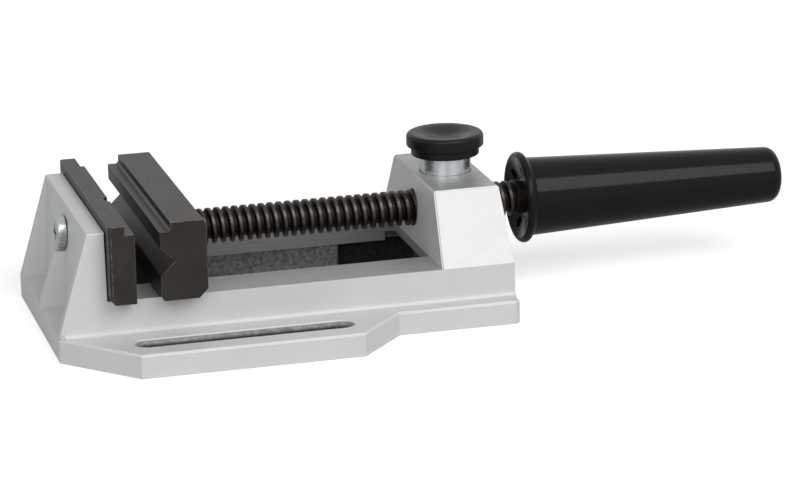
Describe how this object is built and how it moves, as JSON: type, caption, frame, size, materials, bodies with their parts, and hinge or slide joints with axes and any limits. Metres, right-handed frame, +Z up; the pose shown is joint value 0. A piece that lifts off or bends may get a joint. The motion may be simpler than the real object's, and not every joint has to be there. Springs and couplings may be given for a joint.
{
  "type": "drill press vise",
  "caption": "Quick-action machine vise with stepped steel jaws on a slotted cast base, a coarse spindle with a tapered handle, and a push button that releases its half nut.",
  "frame": {"origin": "centre of the whole vise's bounding box at rest, on the plane of the table face", "axes": "+X along the spindle, from the fixed jaw to the handle; +Y across the jaws, to the side away from the picture's camera; +Z up from the machine table"},
  "size_m": [0.3416, 0.169, 0.0729],
  "materials": {
    "cast_aluminium": "fine silver paint over a light alloy casting, milled on the guide faces",
    "jaw_steel": "blackened and oiled, bright at worn edges",
    "thread_steel": "blackened and oiled",
    "zinc_steel": "bluish zinc plating",
    "plain_steel": "plain machined steel",
    "gloss_black_plastic": "polished moulding",
    "satin_black_plastic": "satin moulding"
  },
  "bodies": {
    "base": {"base_casting": "cast_aluminium", "fixed_jaw_plate": "jaw_steel", "fixed_jaw_screw": "zinc_steel", "spring_plug": "plain_steel", "retaining_ring": "plain_steel", "plunger_spring": "plain_steel"},
    "jaw": {"moving_jaw_block": "jaw_steel", "jaw_slide": "plain_steel", "keeper_plate": "plain_steel", "keeper_screw_near": "thread_steel", "keeper_screw_far": "thread_steel", "spindle_pin_near": "plain_steel", "spindle_pin_far": "plain_steel"},
    "spindle": {"spindle": "thread_steel", "handle_grip": "gloss_black_plastic", "handle_insert": "plain_steel", "handle_pin": "plain_steel"},
    "button": {"button_plunger": "zinc_steel", "button_cap": "satin_black_plastic", "cap_stud": "plain_steel"}
  },
  "joints": [
    {"name": "jaw_travel", "type": "slide", "parent": "base", "child": "jaw", "axis": [1, 0, 0], "range_m": [-0.0103, 0.09]},
    {"name": "spindle_turn", "type": "hinge", "parent": "jaw", "child": "spindle", "pos_m": [-0.10685, 0, 0.0395], "axis": [1, 0, 0], "range_deg": [-927, 8100]},
    {"name": "button_press", "type": "slide", "parent": "base", "child": "button", "axis": [0, 0, -1], "range_m": [0, 0.005], "stiffness_N_per_m": 3000, "springref_m": -0.003, "deforming": ["plunger_spring"]}
  ],
  "couplings": [
    {"joint": "spindle_turn", "follows": "jaw_travel", "rad_per_m": 1570.8}
  ]
}
